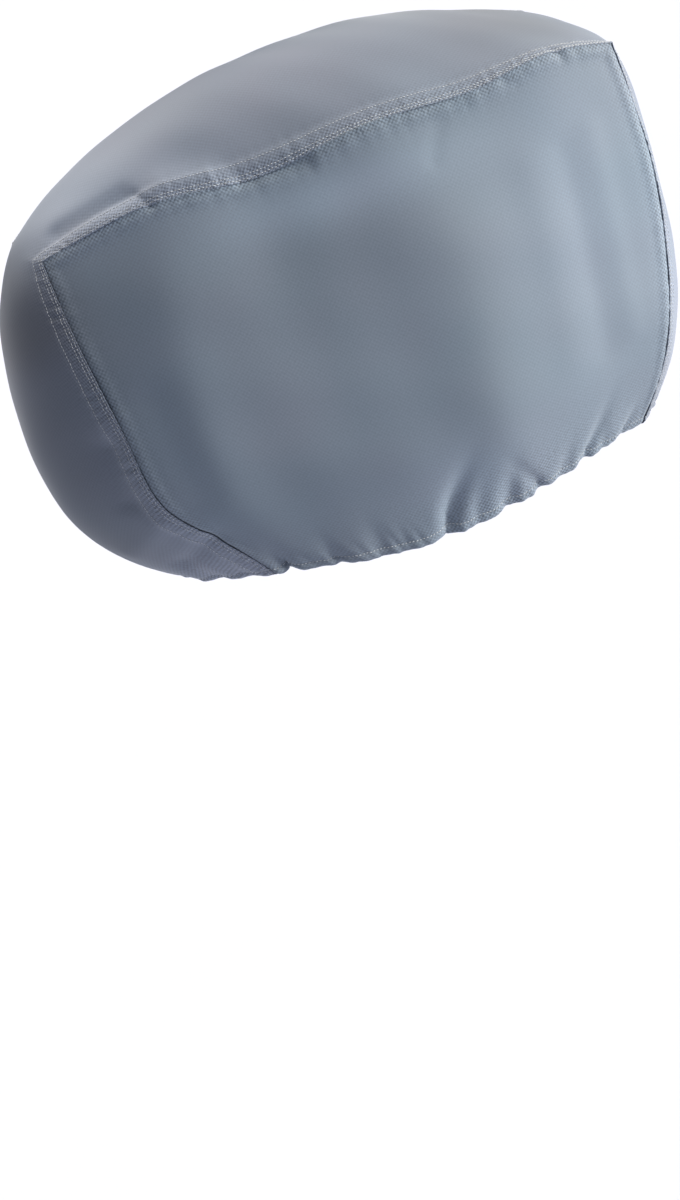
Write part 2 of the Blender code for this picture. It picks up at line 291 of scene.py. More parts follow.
# Where the band's starboard seam runs and where its middle line lies, from the aft hem over the top to the
# front hem: seam x, half width, seam z, middle x, middle z, in millimetres.
bandCut = {
    "stations": (
        (-170, 130, -457, -240, -467),  # aft hem
        (-217, 130, -400, -292, -427),
        (-256, 131, -352, -326, -375),
        (-269, 128, -285, -341, -303),
        (-280, 108, -202, -338, -210),
        (-283, 56, -105, -298, -104),   # aft corner
        (-218, 85, -84, -232, -57),
        (-172, 101, -76, -178, -33),
        (-92, 122, -79, -94, -8),
        (49, 144, -62, 50, 1),          # top middle
        (146, 146, -65, 150, -12),
        (222, 139, -58, 236, -41),
        (298, 121, -74, 317, -84),      # front corner
        (304, 136, -188, 334, -203),
        (295, 139, -290, 339, -300),
        (272, 140, -378, 318, -401),
        (240, 106, -456, 287, -462),    # front hem
    ),
    "aftCorner": 5,
    "frontCorner": 12,
    "roundness": 2.2,     # higher keeps the arcs flatter in the middle
    "rowStep": 2.6,
    "columnStep": 7.0,
    "edgeColumns": (0, 1.3, 2.5, 3.7, 5.5, 8, 10.2, 11.4, 12.4, 13.4, 15, 18, 23, 29),
    "stripWidth": 12.4,   # the felled margin, doubled and topstitched
    "stripHeight": 0.8,
    "stripSoftness": 0.6,
    "stripStep": 0.6,     # its step down lies this far past its width
    "besideDepth": 0.25,  # beside it the band lies a little lower
    "besideAt": 3,
    "besideReach": 2.0,
    "stitchDips": (1.3, 3.7, 11.4),
    "dipDepth": 0.26,
    "dipReach": 0.8,
    "foldRadius": 0.55,   # the strip's edge is a fold and not a raw cut
    "foldAngles": (40, 80, 120, 160),
    "drawn": 0.27,        # the stitching draws small ripples across it, stronger and weaker along it,
    "drawnLengths": (10, 19),
    "drawnUneven": 0.8,
    "unevenLengths": (60, 160),
    "drawnPast": 2,       # which fade out a little past it
    "drawnSoftness": 2,
    "portPhase": 0.37,    # the port seam's ripples start elsewhere, this many metres along
    "cornerRows": 9,      # the seams' corners ease out over this many rows towards the middle
    "cornerFrom": 14,
    "cornerReach": 30,
    "seeds": {"uneven": 3, "drawn": 11, "drawnUneven": 12, "aftHem": 22, "frontHem": 21},
}


def seamRuns(stations, aftShares, topShares, frontShares):
    # The seam as three smooth curves with a corner between each two: up the aft end, over the top and
    # down the bow.
    seam = stations[:, :3] * (1, -1, 1)
    knots = runningLength(seam)
    aft, front = bandCut["aftCorner"], bandCut["frontCorner"]
    ends = ((0, aft), (aft, front), (front, len(knots) - 1))
    runs = []
    places = []
    for (first, last), shares in zip(ends, (aftShares, topShares, frontShares)):
        at = knots[first] + shares * (knots[last] - knots[first])
        runs.append(smoothCurve(knots[first:last + 1], seam[first:last + 1], at))
        places.append(at)
    return runs, places, knots


def stripProfile(edge):
    # Height of the felled margin over the band: height / (1 + exp(past the step / softness)), less a
    # small drop beside it and a dip at each stitch row, both depth * exp(-((edge - place) / reach)^2).
    past = edge - bandCut["stripWidth"]
    height = bandCut["stripHeight"] / (1 + np.exp((past - bandCut["stripStep"]) / bandCut["stripSoftness"]))
    height -= bandCut["besideDepth"] * bell(past - bandCut["besideAt"], bandCut["besideReach"])
    for row in bandCut["stitchDips"]:
        height -= bandCut["dipDepth"] * bell(edge - row, bandCut["dipReach"])
    return height * mm


def bandArcs(seam, middle, across):
    # Arcs between the two seams: across runs from -1 to 1, and the arc's x and z are those of the seam plus
    # (middle - seam) * (1 - |across|^roundness).
    rise = (1 - np.abs(across) ** bandCut["roundness"])[..., None]
    ends = seam[:, None, ::2]
    arc = ends + (middle[:, None] - ends) * rise
    return np.stack([arc[..., 0], across * -seam[:, 1:2], arc[..., 1]], axis=2)


def easeCorner(band, row, fromEdge):
    # Blends the rows near a seam's corner with their average over the rows around them, weighted by
    # exp(-(rows away / half the reach)^2), and more so further from the seam.
    reach = bandCut["cornerRows"]
    steps = np.arange(-reach, reach + 1)
    rows = np.arange(len(band))
    weights = bell(steps, reach / 2)
    around = band[np.clip(rows[:, None] + steps, 0, len(band) - 1)]
    average = np.einsum("rkcd,k->rcd", around, weights / weights.sum())
    inside = np.clip((fromEdge - bandCut["cornerFrom"]) / bandCut["cornerReach"], 0, 1)
    return band + (average - band) * (bell(rows - row, reach)[:, None] * inside)[..., None]


def centreBand():
    # The whole band: its arcs, then its folds, its felled margins, its gathered ends and its turned hems.
    # Each stage moves the points along their normals by the heights that its function works out.
    seeds = bandCut["seeds"]
    stations = np.array(bandCut["stations"], float) * mm
    corners = [0, bandCut["aftCorner"], bandCut["frontCorner"], -1]
    lengths = np.diff(runningLength(stations[:, :3] * (1, -1, 1))[corners])
    hemSteps, step = hemCut["steps"], bandCut["rowStep"]
    shares = [
        gridShares(lengths[0], hemSteps, (0, step), step),
        gridShares(lengths[1], (0, step), (0, step), step),
        gridShares(lengths[2], (0, step), hemSteps, step),
    ]
    runs, places, knots = seamRuns(stations, *shares)
    seam = np.concatenate([runs[0], runs[1][1:-1], runs[2]])
    at = np.concatenate([places[0], places[1][1:-1], places[2]])
    middle = smoothCurve(knots, stations[:, 3:], at)
    halfWidth = -seam[:, 1:2]
    edge = np.array(bandCut["edgeColumns"], float)
    count = int(round((np.mean(halfWidth) * 2 / mm - 2 * edge[-1]) / bandCut["columnStep"]))
    between = np.linspace(-1, 1, count + 1)[1:-1]
    margin = 1 - edge * mm / halfWidth
    across = np.hstack([-margin, between * margin[:, -1:], margin[:, ::-1]])
    fromEdge = (1 - np.abs(across)) * halfWidth / mm
    band = bandArcs(seam, middle, across)
    for row in (len(runs[0]) - 1, len(runs[0]) + len(runs[1]) - 2):
        band = easeCorner(band, row, fromEdge)
    band = unevenSheet(foldedSheet(band), seeds["uneven"])

    along = np.broadcast_to(at[:, None], across.shape) + (across > 0) * bandCut["portPhase"]
    pastStrip = fromEdge - bandCut["stripWidth"] - bandCut["drawnPast"]
    onStrip = 1 / (1 + np.exp(pastStrip / bandCut["drawnSoftness"]))
    uneven = 1 + bandCut["drawnUneven"] * ripple(along, seeds["drawnUneven"], *bandCut["unevenLengths"])
    pulled = bandCut["drawn"] * ripple(along, seeds["drawn"], *bandCut["drawnLengths"]) * uneven
    height = stripProfile(fromEdge) + pulled * onStrip * mm
    band = band + sheetNormals(band) * height[..., None]

    band = turnHem(gatherHem(band, hemPuckers["band"], seeds["frontHem"]))
    return turnHem(gatherHem(band[::-1, ::-1], hemPuckers["band"], seeds["aftHem"]))[::-1, ::-1]


def foldEdge(band):
    # Rolls both long edges of the band down round a small radius: each edge point moves by
    # radius * (sin(angle) * outward - (1 - cos(angle)) * normal).
    normals = sheetNormals(band)
    radius = bandCut["foldRadius"] * mm
    angles = np.radians(bandCut["foldAngles"])[:, None, None]
    sides = []
    for edge, beside in ((0, 1), (-1, -2)):
        outward = unit(band[:, edge] - band[:, beside])
        turned = np.sin(angles) * outward - (1 - np.cos(angles)) * normals[:, edge]
        rolled = band[:, edge] + radius * turned
        sides.append(rolled.transpose(1, 0, 2))
    return np.concatenate([sides[0][:, ::-1], band, sides[1]], axis=1)


sideCut = {
    "hem": ((-68, 156, -471), (37, 162, -473), (142, 144, -464)),
    "puff": 15,               # how far it stands out, and how flat that is lengthwise and upward
    "puffLengthwise": 4,
    "puffUpward": 2.2,
    "aftTurn": (0.18, 0.04),  # the cowl's side turns at two upright lines, and the cloth is stretched nearly
    "bowTurn": (0.60, 0.62),  # straight between them: where each one is at the top seam and at the hem
    "stretch": 0.9,
    "turnSoftness": 3.2,
    "stretchFade": (14, 6),
    "step": 2.8,
    "edgeSteps": (0, 0.9, 2, 3.3, 5, 7, 9.5, 12.5),
    "roughLength": 0.62,      # in metres, to share out the rows and columns
    "roughHeight": 0.40,
    "sinkAft": (0.6, 2.2),    # how far the panel's edge lies below the seam: aft from the top to the hem,
    "sinkFront": 0.6,         # at the bow and along the top
    "sinkAtTop": -0.4,
    "sinkReach": 2.2,
    "sinkBlend": 4,           # and how softly one passes into the other at the corners
    "shoulder": 0.9,          # the cloth puffs up beside the seam, more and less along it
    "shoulderAt": 8,
    "shoulderReach": 5,
    "shoulderUneven": 0.5,
    "shoulderLengths": (30, 90),
    "drawn": 0.22,            # the stitching draws small ripples in the cloth beside it
    "drawnLengths": (11, 26),
    "drawnAt": 4,
    "drawnReach": 12,
    "endPhase": 1.7,          # the ripples at the two ends and along the top start in different places
    "lap": 5,                 # how far the panel runs on under the strip, and how far below the band's face
    "lapBelow": 1.3,
    "seeds": {
        "shoulder": 31,
        "drawn": 32,
        "starboard": {"uneven": 4, "hem": 23},
        "port": {"uneven": 5, "hem": 24},
    },
}


def stretchFlat(halfWidth, s, t):
    # How far each row comes in: its excess over the soft minimum -k * log(sum of exp(-w / k)) of its own
    # half width and of the straight lines between its ends and its two turns, faded out at the edges.
    k = sideCut["turnSoftness"] * mm
    rows = np.arange(len(t))
    ends = (sideCut["aftTurn"], sideCut["bowTurn"])
    turns = [upper + (lower - upper) * t[:, 0] for upper, lower in ends]
    places = [np.zeros(len(t)), *turns, np.ones(len(t))]
    widths = []
    for at in places:
        after = np.clip(np.searchsorted(s, at), 1, len(s) - 1)
        share = (at - s[after - 1]) / (s[after] - s[after - 1])
        widths.append(halfWidth[rows, after - 1] * (1 - share) + halfWidth[rows, after] * share)
    soft = np.exp(-halfWidth / k)
    for i in range(len(places) - 1):
        share = (s[None] - places[i][:, None]) / (places[i + 1] - places[i])[:, None]
        soft += np.exp(-(widths[i][:, None] * (1 - share) + widths[i + 1][:, None] * share) / k)
    excess = halfWidth + k * np.log(soft)
    lengthwise, upward = sideCut["stretchFade"]
    fade = (1 - np.abs(2 * s - 1) ** lengthwise) * (1 - np.abs(2 * t - 1) ** upward)
    return sideCut["stretch"] * excess * fade


def alongSeam(panel, s, t):
    # A running place along the nearest seam: x along the top seam, and z along the seams fore and aft.
    nearEnd = np.minimum(s, 1 - s)[..., 0] * sideCut["roughLength"] < t[..., 0] * sideCut["roughHeight"]
    atEnd = panel[..., 2] + sideCut["endPhase"] * np.sign(panel[..., 0])
    return np.where(nearEnd, atEnd, panel[..., 0])


def edgeHeight(panel, s, t):
    # The panel's height beside its seams: less a sink * exp(-(distance / reach)^2) at the edge itself,
    # plus an uneven shoulder and small ripples, both height * exp(-((distance - place) / reach)^2).
    toEnd = np.minimum(s, 1 - s)[..., 0] * sideCut["roughLength"] / mm
    toTop = t[..., 0] * sideCut["roughHeight"] / mm
    atTop = 1 / (1 + np.exp((toTop - toEnd) / sideCut["sinkBlend"]))
    toSeam = np.minimum(toEnd, toTop)
    along = alongSeam(panel, s, t)
    aftTop, aftHem = sideCut["sinkAft"]
    atEnd = np.where(s[..., 0] < 0.5, aftTop + (aftHem - aftTop) * t[..., 0], sideCut["sinkFront"])
    sink = sideCut["sinkAtTop"] * atTop + atEnd * (1 - atTop)
    height = -sink * bell(toSeam, sideCut["sinkReach"])
    seeds = sideCut["seeds"]
    uneven = 1 + sideCut["shoulderUneven"] * ripple(along, seeds["shoulder"], *sideCut["shoulderLengths"])
    atShoulder = bell(toSeam - sideCut["shoulderAt"], sideCut["shoulderReach"])
    height += sideCut["shoulder"] * uneven * atShoulder
    drawn = sideCut["drawn"] * ripple(along, seeds["drawn"], *sideCut["drawnLengths"])
    return (height + drawn * bell(toSeam - sideCut["drawnAt"], sideCut["drawnReach"])) * mm


def underStrip(runs, places, knots, stations):
    # The line a lap's width inside each seam run and a little below the band's face, on the starboard side.
    lines = []
    for seam, at in zip(runs, places):
        middle = smoothCurve(knots, stations[:, 3:], at)
        inside = np.array((0, 0.5, 1)) * sideCut["lap"] * mm / -seam[:, 1:2] - 1
        margin = foldedSheet(bandArcs(seam, middle, inside))
        lines.append(margin[:, -1] - sideCut["lapBelow"] * mm * sheetNormals(margin)[:, -1])
    return lines


def sidePanel(toPort):
    # A Coons patch: the two seams blended across, plus the top seam and the hem blended down, less the
    # corners blended both ways. The puff (1 - |2s - 1|^lengthwise) * (1 - |2t - 1|^upward) stands it out
    # between them.
    stations = np.array(bandCut["stations"], float) * mm
    edge = sideCut["edgeSteps"]
    s = gridShares(sideCut["roughLength"], edge, edge, sideCut["step"])
    t = gridShares(sideCut["roughHeight"], edge, hemCut["steps"], sideCut["step"])
    runs, places, knots = seamRuns(stations, 1 - t[::-1], s, t)
    aft, top, front = runs[0][::-1], runs[1], runs[2]
    hem = np.vstack([aft[-1], np.array(sideCut["hem"]) * mm * (1, -1, 1), front[-1]])
    lengths = runningLength(hem)
    hem = smoothCurve(lengths / lengths[-1], hem, s)
    s, t = s[None, :, None], t[:, None, None]
    across = (1 - s) * aft[:, None] + s * front[:, None]
    down = (1 - t) * top[None] + t * hem[None]
    corners = (1 - t) * ((1 - s) * aft[0] + s * front[0]) + t * ((1 - s) * aft[-1] + s * front[-1])
    panel = across + down - corners
    lengthwise, upward = sideCut["puffLengthwise"], sideCut["puffUpward"]
    puff = (1 - np.abs(2 * s - 1) ** lengthwise) * (1 - np.abs(2 * t - 1) ** upward)
    panel[..., 1] -= (sideCut["puff"] * mm * puff)[..., 0]
    panel[..., 1] += stretchFlat(-panel[..., 1], s[0, :, 0], t[:, 0])
    if toPort:
        panel = panel[:, ::-1] * (1, -1, 1)
        s = s[:, ::-1]
    seeds = sideCut["seeds"]["port" if toPort else "starboard"]
    panel = unevenSheet(foldedSheet(panel), seeds["uneven"])
    panel = panel + sheetNormals(panel) * edgeHeight(panel, s, t)[..., None]

    puckers = hemPuckers["side"]
    if toPort:
        puckers = [(1 - at, *sizes, -lean) for at, *sizes, lean in puckers]
    panel = gatherHem(panel, puckers, seeds["hem"])
    for flap in flaps.values():
        if toPort:
            flap = {**flap, "at": 1 - flap["at"], "slide": -flap["slide"], "lean": -flap["lean"]}
        panel = lapFlap(panel, flap)
    return turnHem(panel), underStrip(runs, places, knots, stations)


def tuckUnder(panel, lines, toPort):
    # Adds a border along the seams that runs on under the band's strip.
    aft, top, front = lines[0][::-1], lines[1], lines[2]
    if toPort:
        aft, top, front = (line * (1, -1, 1) for line in (front, top[::-1], aft))
    first = np.concatenate([aft[:1], aft, panel[len(aft):, 0]])
    last = np.concatenate([front[:1], front, panel[len(front):, -1]])
    taller = np.concatenate([top[None], panel])
    return np.concatenate([first[:, None], taller, last[:, None]], axis=1)


coverCloth = {
    "yarn": 2.2,                       # millimetres from yarn to yarn, coarser than real so that it shows
    "blueGrey": (0.131, 0.170, 0.222),
    "lilacGrey": (0.153, 0.167, 0.220),
    "weaveContrast": 0.9,
    "weaveBase": 0.12,                 # how plainly the weave shows away from the seams and the hem
    "seamReach": 17,
    "hemReach": 60,
    "hemWeave": (0.55, 0.12, 0.3),     # at the hem: its share amidships, metres to grow by 1, and the least
    "crossings": 0.6,                  # the weave is this much yarns' crossings and this much slubs
    "slubs": 2.2,
    "slubScale": 340,
    "slubRoughness": 0.7,
    "patchScale": 7,                   # slow patches of the two shades
    "crinkleAt": 9,                    # fine crinkles across the seams, in millimetres from them
    "crinkleReach": 8,
    "crinkleRelief": 1.1,
    "crinkleScale": (300, 60, 1),      # along and across the seam, to a metre
    "crinkleUneven": (0.6, 0.5, 0.1),  # along the seam: their middle, their swing and the least
    "crinkleLengths": (25, 80),
    "crinkleSeed": 71,
    "endShift": 3,
    "roughness": 0.66,
    "roughnessSwing": 0.12,
    "sheen": 0.16,
    "sheenRoughness": 0.5,
    "specular": 0.35,
    "bumpDepth": 0.3,
    "tints": {"band_cloth": (1.0, 1.0, 1.02), "side_cloth": (0.925, 0.98, 0.975)},
}


def clothCoordinates(points):
    # Lengths along the rows and down the columns from the sheet's middle, so that the weave keeps its size.
    rows, columns = points.shape[:2]
    acrossSteps = np.linalg.norm(np.diff(points, axis=1), axis=-1)
    downSteps = np.linalg.norm(np.diff(points, axis=0), axis=-1)
    across = np.hstack([np.zeros((rows, 1)), np.cumsum(acrossSteps, axis=1)])
    down = np.vstack([np.zeros((1, columns)), np.cumsum(downSteps, axis=0)])
    middle = columns // 2
    return np.stack([across - across[:, middle:middle + 1], down - down[rows // 2]], axis=-1)


def seamPlaces(points, isBand):
    # For each point, the running length along the nearest seam and the distance from it. The band's seams
    # are its two long edges, and a side panel's are its first row and its two end columns, where the
    # length starts elsewhere.
    place = clothCoordinates(points)
    u, v = place[..., 0], place[..., 1]
    fromSide = np.minimum(u - u[:, :1], u[:, -1:] - u)
    if isBand:
        return v, fromSide
    fromTop = v - v[:1]
    return np.where(fromTop < fromSide, u, v + coverCloth["endShift"]), np.minimum(fromSide, fromTop)


def weaveShown(points, isBand):
    # How plainly the weave shows: base + (1 - base) * the larger of two, exp(-(from the seam / reach)^2)
    # and the same from the hem, which on a side panel grows steadily towards the bow.
    v = clothCoordinates(points)[..., 1]
    fromHem = np.minimum(v - v[:1], v[-1:] - v) if isBand else v[-1:] - v
    atHem = bell(fromHem, coverCloth["hemReach"] * mm)
    if not isBand:
        amidships, growth, least = coverCloth["hemWeave"]
        atHem = atHem * np.clip(amidships + points[..., 0] / growth, least, 1)
    atSeam = bell(seamPlaces(points, isBand)[1], coverCloth["seamReach"] * mm)
    return coverCloth["weaveBase"] + (1 - coverCloth["weaveBase"]) * np.maximum(atHem, atSeam)


def crinkleDepth(points, isBand):
    # exp(-((distance from the seam - middle) / reach)^2), stronger and weaker along it.
    along, fromSeam = seamPlaces(points, isBand)
    middle, swing, least = coverCloth["crinkleUneven"]
    waves = ripple(along, coverCloth["crinkleSeed"], *coverCloth["crinkleLengths"])
    uneven = np.clip(middle + swing * waves, least, 1)
    return uneven * bell(fromSeam - coverCloth["crinkleAt"] * mm, coverCloth["crinkleReach"] * mm)


# Painted light and shade: soft places where the cloth's colour is made lighter where the lights fall on it
# and darker where the
# cover lies in its own shade: middle, half sizes in millimetres, and by what share. They were tuned with
# these lights and go well beyond any fading from sun and use. A last figure above 1 gives a clearer edge.
# The port side repeats each one.
paintedShading = (
    ((-236, 50, -68), (108, 115, 54), 0.44),    # aft end of the top
    ((-222, 60, -84), (42, 13, 16), -0.18),     # inside its corners
    ((205, 50, -20), (150, 140, 45), -0.31),    # front of the top
    ((270, 50, -35), (75, 120, 45), -0.22),
    ((-20, 150, -112), (110, 50, 28), 0.46),    # below the top seam
    ((222, 155, -185), (55, 60, 150), 0.20),    # sides towards the bow
    ((85, 188, -240), (35, 50, 150), -0.12),    # where they turn
    ((-60, 165, -240), (130, 50, 120), -0.06),  # sides aft of it
    ((-225, 130, -260), (45, 45, 150), 0.15),   # sides by the aft seam
    ((-342, 40, -300), (80, 150, 200), -0.38),  # aft end, and more at its top and where it turns under
    ((-335, 0, -150), (75, 125, 60), -0.30, 2),
    ((-300, 60, -415), (70, 110, 55), -0.24),
    ((300, 130, -290), (25, 50, 190), 0.20),    # bow seam
    ((35, 170, -420), (65, 50, 50), 0.22),      # hem amidships
)


def paintedShadingShare(points):
    # Painted light and shade as a factor on the cloth's colour: 1 plus, for each place, share *
    # exp(-((distance from its middle / half sizes)^2)^edge).
    faded = np.ones(points.shape[:2])
    mirrored = np.stack([points[..., 0], np.abs(points[..., 1]), points[..., 2]], axis=-1)
    for middle, halfSizes, share, *edge in paintedShading:
        away = (mirrored / mm - middle) / halfSizes
        faded += share * np.exp(-((away**2).sum(-1) ** (edge[0] if edge else 1)))
    return faded


def sheetMesh(name, points, material, isBand):
    # A grid of quads over the rows and columns of points, thickened inwards.
    rows, columns = points.shape[:2]
    index = np.arange(rows * columns).reshape(rows, columns)
    quads = np.stack([index[:-1, :-1], index[1:, :-1], index[1:, 1:], index[:-1, 1:]], axis=-1)
    quads = quads.reshape(-1, 4)
    mesh = bpy.data.meshes.new(name)
    mesh.from_pydata(points.reshape(-1, 3).tolist(), [], quads.tolist())
    seamward = np.stack(seamPlaces(points, isBand), axis=-1)
    for title, coordinates in (("cloth", clothCoordinates(points)), ("seam", seamward)):
        layer = mesh.uv_layers.new(name=title)
        layer.data.foreach_set("uv", coordinates.reshape(-1, 2)[quads.ravel()].astype(np.float32).ravel())
    shares = {
        "showWeave": weaveShown(points, isBand),
        "crinkle": crinkleDepth(points, isBand),
        # painted light and shade: lighter where the lights fall, darker where the cover is in shade
        "faded": paintedShadingShare(points),
    }
    for title, values in shares.items():
        layer = mesh.attributes.new(title, "FLOAT", "POINT")
        layer.data.foreach_set("value", values.astype(np.float32).ravel())
    mesh.shade_smooth()
    mesh.materials.append(material)
    piece = bpy.data.objects.new(name, mesh)
    bpy.context.scene.collection.objects.link(piece)
    thicken = piece.modifiers.new("thickness", "SOLIDIFY")
    thicken.thickness = cloth["thickness"] * mm
    thicken.offset = -1
    return piece


def nodeInputs(node, values):
    # Sets a node's own values by their sockets' names.
    for socket, value in values.items():
        node.inputs[socket].default_value = value


def calculate(tree, operation, first, second=0.0, third=None):
    # One Math node; each term is a number or another node's output.
    node = tree.nodes.new("ShaderNodeMath")
    node.operation = operation
    for socket, term in zip(node.inputs, (first, second, third)):
        if term is None:
            continue
        if isinstance(term, (int, float)):
            socket.default_value = term
        else:
            tree.links.new(term, socket)
    return node.outputs[0]


def blendColors(tree, factor, first, second, mode="MIX"):
    # One Mix node on colours: first + factor * (second - first), or with MULTIPLY
    # first + factor * (first * second - first). Each term is a number, a colour or a node's output.
    node = tree.nodes.new("ShaderNodeMix")
    node.data_type = "RGBA"
    node.blend_type = mode
    for socket, term in ((node.inputs[0], factor), (node.inputs[6], first), (node.inputs[7], second)):
        if isinstance(term, (int, float)):
            socket.default_value = term
        elif isinstance(term, tuple):
            socket.default_value = (*term, 1)
        else:
            tree.links.new(term, socket)
    return node.outputs[2]


def noiseOver(tree, vector, scale, detail=2.0, roughness=0.5):
    # One Noise node: scale is how many of its blots fit in a metre of the vector given.
    node = tree.nodes.new("ShaderNodeTexNoise")
    nodeInputs(node, {"Scale": scale, "Detail": detail, "Roughness": roughness})
    tree.links.new(vector, node.inputs["Vector"])
    return node.outputs["Fac"]


def attributeFactor(tree, name, output="Fac"):
    # A value that the mesh carries at each point.
    node = tree.nodes.new("ShaderNodeAttribute")
    node.attribute_name = name
    return node.outputs[output]


def onMap(tree, name):
    # The coordinates of one of the mesh's UV maps.
    node = tree.nodes.new("ShaderNodeUVMap")
    node.uv_map = name
    return node.outputs["UV"]


def reliefOver(tree, height, depth, below=None, strength=0.5):
    # One Bump node over another's normal; depth is in millimetres.
    bump = tree.nodes.new("ShaderNodeBump")
    nodeInputs(bump, {"Strength": strength, "Distance": depth * mm})
    tree.links.new(height, bump.inputs["Height"])
    if below is not None:
        tree.links.new(below, bump.inputs["Normal"])
    return bump.outputs["Normal"]


def wovenCloth(name):
    # Plain weave: sin(pi u / yarn) * sin(pi v / yarn) is high where a warp yarn lies on top and low between
    # yarns. Slubs make it uneven, and the shade is tone * painted light and shade * (1 + shown * contrast *
    # weave).
    material = bpy.data.materials.new(name)
    material.use_nodes = True
    tree = material.node_tree
    shader = tree.nodes["Principled BSDF"]
    place = tree.nodes.new("ShaderNodeTexCoord").outputs["Object"]
    onCloth = onMap(tree, "cloth")
    split = tree.nodes.new("ShaderNodeSeparateXYZ")
    tree.links.new(onCloth, split.inputs[0])
    turn = math.pi / (coverCloth["yarn"] * mm)
    warp = calculate(tree, "SINE", calculate(tree, "MULTIPLY", split.outputs[0], turn))
    weft = calculate(tree, "SINE", calculate(tree, "MULTIPLY", split.outputs[1], turn))
    over = calculate(tree, "MULTIPLY", warp, weft)
    slub = noiseOver(tree, onCloth, coverCloth["slubScale"], roughness=coverCloth["slubRoughness"])
    slub = calculate(tree, "SUBTRACT", slub, 0.5)
    crossings = calculate(tree, "MULTIPLY", over, coverCloth["crossings"])
    weave = calculate(tree, "MULTIPLY_ADD", slub, coverCloth["slubs"], crossings)
    shown = attributeFactor(tree, "showWeave")

    patches = noiseOver(tree, place, coverCloth["patchScale"])
    tone = blendColors(tree, patches, coverCloth["blueGrey"], coverCloth["lilacGrey"])
    tone = blendColors(tree, 1.0, tone, coverCloth["tints"][name], "MULTIPLY")
    # the tone times the painted light and shade: lighter where the lights fall, darker where the cover is in
    # shade
    tone = blendColors(tree, 1.0, tone, attributeFactor(tree, "faded", "Color"), "MULTIPLY")
    contrast = calculate(tree, "MULTIPLY", shown, coverCloth["weaveContrast"])
    dots = calculate(tree, "MULTIPLY_ADD", weave, contrast, 1.0)
    color = blendColors(tree, 1.0, tone, dots, "MULTIPLY")
    tree.links.new(color, shader.inputs["Base Color"])

    rough = calculate(tree, "MULTIPLY_ADD", slub, coverCloth["roughnessSwing"], coverCloth["roughness"])
    tree.links.new(rough, shader.inputs["Roughness"])
    nodeInputs(shader, {
        "Sheen Weight": coverCloth["sheen"],
        "Sheen Roughness": coverCloth["sheenRoughness"],
        "Specular IOR Level": coverCloth["specular"],
    })
    stretched = tree.nodes.new("ShaderNodeMapping")
    nodeInputs(stretched, {"Scale": coverCloth["crinkleScale"]})
    tree.links.new(onMap(tree, "seam"), stretched.inputs["Vector"])
    crinkles = noiseOver(tree, stretched.outputs[0], 1, 1)
    crinkles = calculate(tree, "MULTIPLY", crinkles, attributeFactor(tree, "crinkle"))
    creased = reliefOver(tree, crinkles, coverCloth["crinkleRelief"])
    woven = reliefOver(tree, calculate(tree, "MULTIPLY", weave, shown), coverCloth["bumpDepth"], creased)
    tree.links.new(woven, shader.inputs["Normal"])
    return material


threadLook = {
    "color": (0.47, 0.50, 0.545),
    "darkShare": 0.7,
    "roughness": 0.45,
    "sheen": 0.2,
    "twist": 5.0,  # turns of the ply in half a stitch
    "relief": 0.1,
    "reliefStrength": 0.4,
}


def sewingThread():
    # The ply's twist: a wave along the stitch plus round it, as light and dark and as relief.
    material = bpy.data.materials.new("sewing_thread")
    material.use_nodes = True
    tree = material.node_tree
    shader = tree.nodes["Principled BSDF"]
    split = tree.nodes.new("ShaderNodeSeparateXYZ")
    tree.links.new(onMap(tree, "thread"), split.inputs[0])
    turns = calculate(tree, "MULTIPLY_ADD", split.outputs[0], threadLook["twist"], split.outputs[1])
    ply = calculate(tree, "SINE", calculate(tree, "MULTIPLY", turns, 2 * math.pi))
    ply = calculate(tree, "MULTIPLY_ADD", ply, 0.5, 0.5)
    dark = tuple(threadLook["darkShare"] * value for value in threadLook["color"])
    tree.links.new(blendColors(tree, ply, dark, threadLook["color"]), shader.inputs["Base Color"])
    nodeInputs(shader, {"Roughness": threadLook["roughness"], "Sheen Weight": threadLook["sheen"]})
    relief = reliefOver(tree, ply, threadLook["relief"], strength=threadLook["reliefStrength"])
    tree.links.new(relief, shader.inputs["Normal"])
    return material


stitching = {
    "pitch": 3.6,
    "length": 3.0,
    "radius": 0.34,
    "arch": 0.30,     # a stitch stands up in its middle, and sinks from there
    "archDrop": 1.6,  # this many times as far towards its ends
    "sides": 6,
    "rings": 5,
    "ends": 0.97,     # the last rings' places: at 1 they would shrink to a point
    "wobble": 0.16,
    "unevenPitch": 0.06,
    "seeds": {"starboard": 45, "port": 35, "hem": 60},
}


def stitchRow(line, normals, seed):
    # Middle, direction, side and normal of each stitch: places nearly a pitch apart along the line, each
    # moved a little to the side.
    at = runningLength(line)
    count = int(at[-1] / (stitching["pitch"] * mm))
    draw = np.random.default_rng(seed)
    uneven = draw.uniform(-stitching["unevenPitch"], stitching["unevenPitch"], count)
    places = (np.arange(count) + 0.5 + uneven) * at[-1] / count

    def read(values, where):
        return np.stack([np.interp(where, at, values[:, k]) for k in range(3)], axis=1)

    middle = read(line, places)
    half = stitching["length"] / 2 * mm
    along = unit(read(line, places + half) - read(line, places - half))
    up = read(normals, places)
    up = unit(up - (up * along).sum(1, keepdims=True) * along)
    side = np.cross(up, along)
    middle = middle + side * (draw.normal(0, stitching["wobble"], (count, 1)) * mm)
    return np.stack([middle, along, side, up], axis=1)


